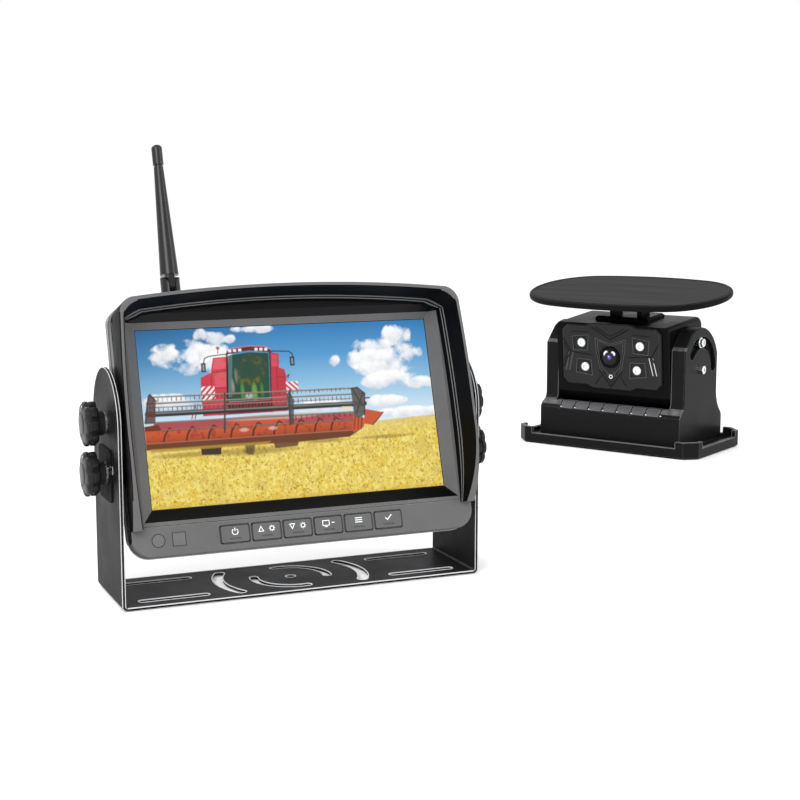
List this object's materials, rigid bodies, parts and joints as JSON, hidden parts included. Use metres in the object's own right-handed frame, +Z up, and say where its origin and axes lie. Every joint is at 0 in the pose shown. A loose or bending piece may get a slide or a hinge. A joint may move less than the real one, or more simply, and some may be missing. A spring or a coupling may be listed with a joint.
{
  "type": "backup camera kit",
  "caption": "Hooded dashboard monitor tilting in a slotted U bracket with an aerial, and a solar reversing camera tilting in a magnetic cradle.",
  "frame": {"origin": "centre screw hole of the bracket, on the bracket's underside, which is also the surface the camera's magnetic base stands on", "axes": "+Z up, -Y the way the monitor faces, +X to the viewer's right along the bracket's width"},
  "size_m": [0.5494, 0.4004, 0.2215],
  "materials": {
    "bracket_steel": "textured black powder coat",
    "black_rubber": "matt",
    "knob_plastic": "fine spark texture",
    "zinc_steel": "zinc plated",
    "brass_fittings": "machined",
    "rear_plastic": "fine texture",
    "bezel_plastic": "satin",
    "visor_plastic": "satin",
    "key_plastic": "satin",
    "screen_glass": "polished",
    "smoked_window": "polished",
    "circuit_board": "solder mask",
    "shield_metal": "rolled",
    "speaker_black": "pressed",
    "antenna_plastic": "satin",
    "tray_plastic": "satin",
    "magnet_nickel": "nickel plated",
    "cradle_plastic": "satin",
    "head_plastic": "satin",
    "face_plastic": "satin",
    "bright_steel": "polished",
    "lens_black": "black anodised",
    "lens_glass": "coated",
    "led_white": "domed",
    "battery_wrap": "shrink film",
    "panel_plastic": "satin",
    "solar_film": "brushed laminate",
    "button_plastic": "satin",
    "port_metal": "plated"
  },
  "bodies": {
    "bracket": {"bracket": "bracket_steel", "arm_pads": "black_rubber"},
    "monitor": {"side_inserts": "brass_fittings", "knob_washers": "zinc_steel", "rear_cover": "rear_plastic", "front_bezel": "bezel_plastic", "sun_visor": "visor_plastic", "rear_cover_screws": "zinc_steel", "lcd_panel": "screen_glass", "backlight_unit": "shield_metal", "main_board": "circuit_board", "receiver_module": "shield_metal", "speaker": "speaker_black", "button_board": "circuit_board", "remote_window": "smoked_window", "light_sensor_window": "smoked_window", "cable_grommet": "black_rubber", "antenna_socket": "brass_fittings"},
    "knob_upper_left": {"knob_upper_left": "knob_plastic", "stud_upper_left": "zinc_steel"},
    "knob_lower_left": {"knob_lower_left": "knob_plastic", "stud_lower_left": "zinc_steel"},
    "knob_upper_right": {"knob_upper_right": "knob_plastic", "stud_upper_right": "zinc_steel"},
    "knob_lower_right": {"knob_lower_right": "knob_plastic", "stud_lower_right": "zinc_steel"},
    "key_power": {"key_power": "key_plastic"},
    "key_up": {"key_up": "key_plastic"},
    "key_down": {"key_down": "key_plastic"},
    "key_channel": {"key_channel": "key_plastic"},
    "key_menu": {"key_menu": "key_plastic"},
    "key_select": {"key_select": "key_plastic"},
    "antenna_collar": {"antenna_collar": "antenna_plastic", "antenna_pin": "zinc_steel"},
    "antenna_whip": {"antenna_whip": "antenna_plastic", "antenna_cap": "antenna_plastic"},
    "camera_base": {"magnet_base": "tray_plastic", "base_magnets": "magnet_nickel", "base_pad": "black_rubber", "cradle_screws": "zinc_steel", "cradle": "cradle_plastic"},
    "camera_head": {"pivot_screws": "bright_steel", "clamp_screws": "bright_steel", "head_front_shell": "head_plastic", "head_rear_shell": "head_plastic", "face_plate": "face_plastic", "lens_barrel": "lens_black", "lens_dome": "lens_glass", "infrared_leds": "led_white", "camera_board": "circuit_board", "battery_cells": "battery_wrap", "charge_port": "port_metal", "panel_neck": "head_plastic", "panel_pin": "zinc_steel"},
    "solar_panel": {"panel_tray": "panel_plastic", "solar_sheet": "solar_film"},
    "power_button": {"power_button": "button_plastic"},
    "port_plug": {"port_plug": "black_rubber"}
  },
  "joints": [
    {"name": "monitor_tilt", "type": "hinge", "parent": "bracket", "child": "monitor", "pos_m": [0, 0, 0.0877], "axis": [1, 0, 0], "range_deg": [-20, 25]},
    {"name": "turn_knob_upper_left", "type": "hinge", "parent": "monitor", "child": "knob_upper_left", "pos_m": [-0.094, 0, 0.0877], "axis": [-1, 0, 0], "continuous": true},
    {"name": "turn_knob_lower_left", "type": "hinge", "parent": "monitor", "child": "knob_lower_left", "pos_m": [-0.094, -0.00258, 0.06354], "axis": [-1, 0, 0], "continuous": true},
    {"name": "turn_knob_upper_right", "type": "hinge", "parent": "monitor", "child": "knob_upper_right", "pos_m": [0.094, 0, 0.0877], "axis": [1, 0, 0], "continuous": true},
    {"name": "turn_knob_lower_right", "type": "hinge", "parent": "monitor", "child": "knob_lower_right", "pos_m": [0.094, -0.00258, 0.06354], "axis": [1, 0, 0], "continuous": true},
    {"name": "press_key_power", "type": "slide", "parent": "monitor", "child": "key_power", "axis": [0, 0.9537, -0.3007], "range_m": [0, 0.0008], "stiffness_N_per_m": 900, "springref_m": -0.0004},
    {"name": "press_key_up", "type": "slide", "parent": "monitor", "child": "key_up", "axis": [0, 0.9537, -0.3007], "range_m": [0, 0.0008], "stiffness_N_per_m": 900, "springref_m": -0.0004},
    {"name": "press_key_down", "type": "slide", "parent": "monitor", "child": "key_down", "axis": [0, 0.9537, -0.3007], "range_m": [0, 0.0008], "stiffness_N_per_m": 900, "springref_m": -0.0004},
    {"name": "press_key_channel", "type": "slide", "parent": "monitor", "child": "key_channel", "axis": [0, 0.9537, -0.3007], "range_m": [0, 0.0008], "stiffness_N_per_m": 900, "springref_m": -0.0004},
    {"name": "press_key_menu", "type": "slide", "parent": "monitor", "child": "key_menu", "axis": [0, 0.9537, -0.3007], "range_m": [0, 0.0008], "stiffness_N_per_m": 900, "springref_m": -0.0004},
    {"name": "press_key_select", "type": "slide", "parent": "monitor", "child": "key_select", "axis": [0, 0.9537, -0.3007], "range_m": [0, 0.0008], "stiffness_N_per_m": 900, "springref_m": -0.0004},
    {"name": "antenna_swivel", "type": "hinge", "parent": "monitor", "child": "antenna_collar", "pos_m": [-0.054, 0.01959, 0.13919], "axis": [0, 0.3007, 0.9537], "range_deg": [-170, 170]},
    {"name": "antenna_fold", "type": "hinge", "parent": "antenna_collar", "child": "antenna_whip", "pos_m": [-0.054, 0.02335, 0.15111], "axis": [1, 0, 0], "range_deg": [-90, 0]},
    {"name": "camera_unit_lift", "type": "slide", "parent": "bracket", "child": "camera_base", "axis": [0, 0, 1], "range_m": [0, 0.15]},
    {"name": "head_tilt", "type": "hinge", "parent": "camera_base", "child": "camera_head", "pos_m": [0.37288, 0.28315, 0.0604], "axis": [0.5225, -0.8526, 0], "range_deg": [-85, 43]},
    {"name": "panel_tilt", "type": "hinge", "parent": "camera_head", "child": "solar_panel", "pos_m": [0.36945, 0.28105, 0.10632], "axis": [0.5225, -0.8526, 0], "range_deg": [-20, 15]},
    {"name": "press_power_button", "type": "slide", "parent": "camera_head", "child": "power_button", "axis": [-0.8494, -0.5205, -0.0872], "range_m": [0, 0.0008], "stiffness_N_per_m": 900, "springref_m": -0.0004},
    {"name": "port_plug_flap", "type": "hinge", "parent": "camera_head", "child": "port_plug", "pos_m": [0.40653, 0.28032, 0.07864], "axis": [0.5225, -0.8526, 0], "range_deg": [-90, 0], "stiffness_Nm_per_rad": 0.002, "springref_deg": 20.05}
  ]
}
